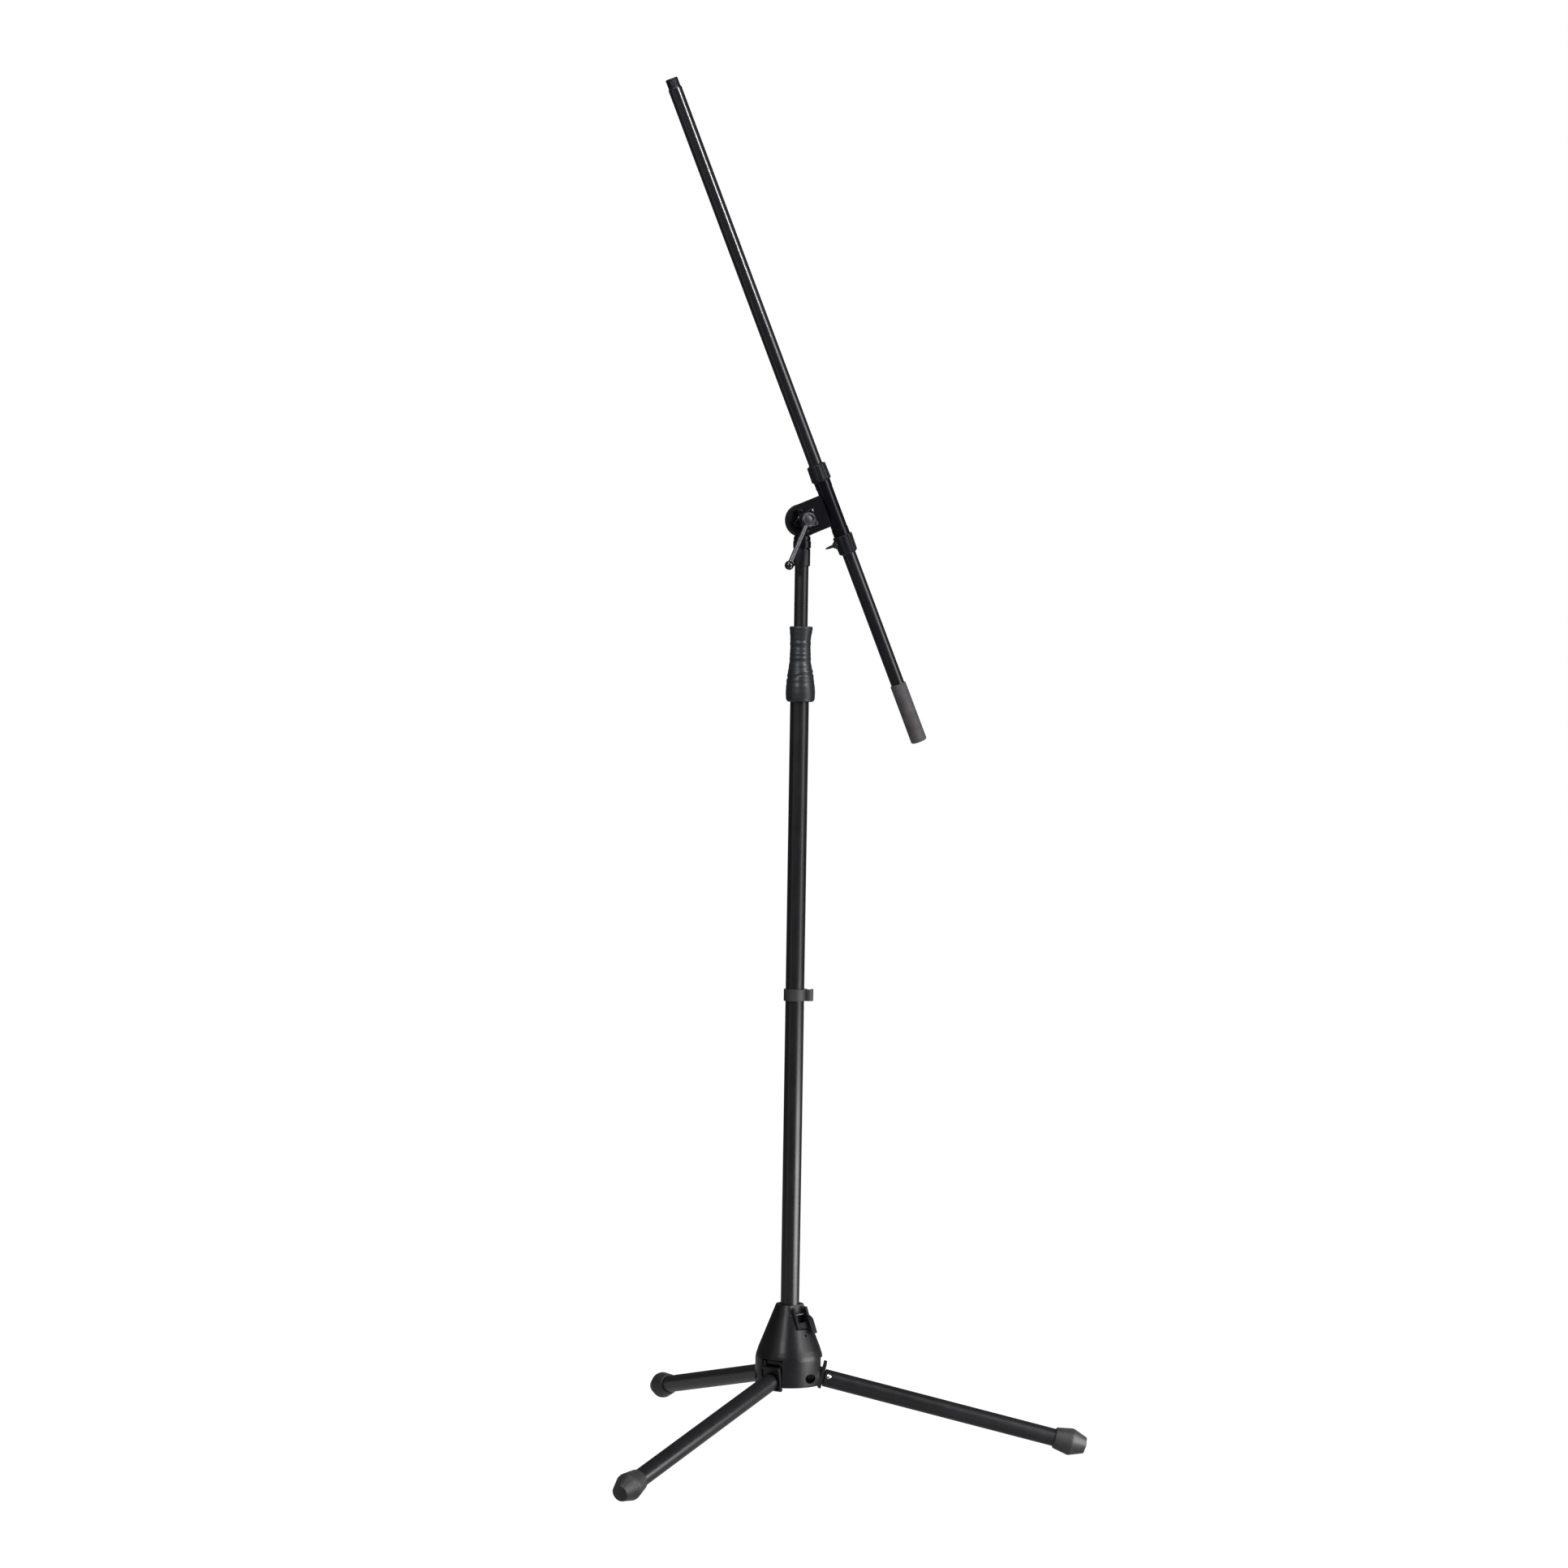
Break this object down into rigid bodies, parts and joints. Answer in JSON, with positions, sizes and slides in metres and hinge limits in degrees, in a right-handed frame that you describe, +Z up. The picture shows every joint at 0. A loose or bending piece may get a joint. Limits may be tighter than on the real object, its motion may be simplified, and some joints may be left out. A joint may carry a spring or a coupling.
{
  "type": "boom microphone stand",
  "caption": "Folding tripod microphone stand with a telescopic mast, twist clutch, and a tilting, sliding boom with a counterweight and tension lever.",
  "frame": {"origin": "on the floor, on the axis of the mast", "axes": "+Z up along the mast; the boom lies in the XZ plane with its microphone end toward -X; the tilt pivot runs along Y with the tension lever on the -Y side"},
  "size_m": [0.6521, 0.6253, 1.704],
  "materials": {
    "black_tube": "satin black powder coat",
    "boom_gloss": "glossy black",
    "hub_shell": "semi-gloss moulded",
    "knuckle_casting": "satin black",
    "grip_plastic": "soft semi-gloss",
    "clip_plastic": "matte charcoal",
    "head_casting": "satin black casting",
    "collar_plastic": "satin moulded",
    "liner_plastic": "smooth",
    "foot_rubber": "matte",
    "weight_rubber": "matte charcoal",
    "dark_steel": "black oxide",
    "steel": "zinc plated",
    "bright_steel": "bright nickel plate",
    "ball_chrome": "dark polished",
    "friction_fibre": "pressed fibre",
    "brass": "turned"
  },
  "bodies": {
    "base": {"hub_body": "hub_shell", "tube_bolt": "steel", "tube_washer": "steel", "tube_plug": "steel", "trigger_pin": "steel", "trigger_spring": "steel", "lower_tube": "black_tube", "clutch_body": "liner_plastic", "clutch_collet": "steel", "leg_1_pivot_screw": "dark_steel", "leg_2_pivot_screw": "dark_steel", "leg_3_pivot_screw": "dark_steel"},
    "leg_1": {"leg_1_knuckle": "knuckle_casting", "leg_1_tube": "black_tube", "leg_1_rivet": "bright_steel", "leg_1_foot": "foot_rubber"},
    "leg_2": {"leg_2_knuckle": "knuckle_casting", "leg_2_tube": "black_tube", "leg_2_rivet": "bright_steel", "leg_2_foot": "foot_rubber"},
    "leg_3": {"leg_3_knuckle": "knuckle_casting", "leg_3_tube": "black_tube", "leg_3_rivet": "bright_steel", "leg_3_foot": "foot_rubber"},
    "trigger": {"release_trigger": "hub_shell"},
    "grip": {"clutch_grip": "grip_plastic"},
    "clip": {"cable_clip": "clip_plastic"},
    "mast": {"upper_tube": "black_tube", "upper_tube_bush": "liner_plastic", "upper_tube_stud": "steel"},
    "nut": {"coupling_nut": "collar_plastic"},
    "head": {"swivel_collar": "head_casting", "fork": "head_casting", "friction_disc_near": "friction_fibre", "friction_disc_far": "friction_fibre", "clamp_bolt": "steel", "clamp_nut": "steel"},
    "lever": {"lever_star": "head_casting", "lever_hub": "dark_steel", "lever_rod": "steel", "lever_ball": "ball_chrome"},
    "bracket": {"boom_bracket": "head_casting", "bracket_bush": "brass", "rear_collar": "collar_plastic"},
    "thumb": {"thumb_screw": "collar_plastic"},
    "liner": {"sleeve_liner": "liner_plastic"},
    "collar": {"front_collar": "collar_plastic"},
    "boom": {"boom_tube": "boom_gloss", "boom_stud": "dark_steel", "boom_end_plug": "weight_rubber", "counterweight_core": "steel", "counterweight_sleeve": "weight_rubber"}
  },
  "joints": [
    {"name": "leg_1_fold", "type": "hinge", "parent": "base", "child": "leg_1", "pos_m": [0.02638, -0.00939, 0.0955], "axis": [0.3355, 0.9421, 0], "range_deg": [0, 76.5]},
    {"name": "leg_2_fold", "type": "hinge", "parent": "base", "child": "leg_2", "pos_m": [-0.02132, -0.01815, 0.0955], "axis": [0.6481, -0.7615, 0], "range_deg": [0, 76.5]},
    {"name": "leg_3_fold", "type": "hinge", "parent": "base", "child": "leg_3", "pos_m": [-0.00505, 0.02754, 0.0955], "axis": [-0.9836, -0.1805, 0], "range_deg": [0, 76.5]},
    {"name": "trigger_pull", "type": "hinge", "parent": "base", "child": "trigger", "pos_m": [0.0068, -0.0137, 0.1725], "axis": [-0.8957, -0.4446, 0], "range_deg": [0, 14], "stiffness_Nm_per_rad": 0.4, "springref_deg": -14.32},
    {"name": "clutch_twist", "type": "hinge", "parent": "base", "child": "grip", "pos_m": [0, 0, 0.99], "axis": [0, 0, 1], "range_deg": [0, 90]},
    {"name": "clip_slide", "type": "slide", "parent": "base", "child": "clip", "axis": [0, 0, 1], "range_m": [-0.37, 0.35]},
    {"name": "height_slide", "type": "slide", "parent": "base", "child": "mast", "axis": [0, 0, 1], "range_m": [-0.068, 0.6]},
    {"name": "nut_turn", "type": "hinge", "parent": "mast", "child": "nut", "pos_m": [0, 0, 1.12], "axis": [0, 0, 1], "continuous": true},
    {"name": "head_swivel", "type": "hinge", "parent": "mast", "child": "head", "pos_m": [0, 0, 1.14], "axis": [0, 0, 1], "continuous": true},
    {"name": "lever_turn", "type": "hinge", "parent": "head", "child": "lever", "pos_m": [0, -0.022, 1.168], "axis": [0, 1, 0], "range_deg": [-150, 0]},
    {"name": "boom_tilt", "type": "hinge", "parent": "head", "child": "bracket", "pos_m": [0, 0, 1.168], "axis": [0, 1, 0], "range_deg": [-157.3, 22.7]},
    {"name": "thumb_screw_turn", "type": "hinge", "parent": "bracket", "child": "thumb", "pos_m": [0.04374, 0, 1.13806], "axis": [-0.9225, 0, -0.3859], "range_deg": [-360, 0]},
    {"name": "collar_twist", "type": "hinge", "parent": "bracket", "child": "collar", "pos_m": [0.02042, 0, 1.22749], "axis": [-0.3859, 0, 0.9225], "range_deg": [0, 90]},
    {"name": "boom_roll", "type": "hinge", "parent": "bracket", "child": "liner", "pos_m": [0.03856, 0, 1.18413], "axis": [-0.3859, 0, 0.9225], "continuous": true},
    {"name": "boom_slide", "type": "slide", "parent": "liner", "child": "boom", "axis": [-0.3859, 0, 0.9225], "range_m": [-0.4, 0.172]}
  ]
}
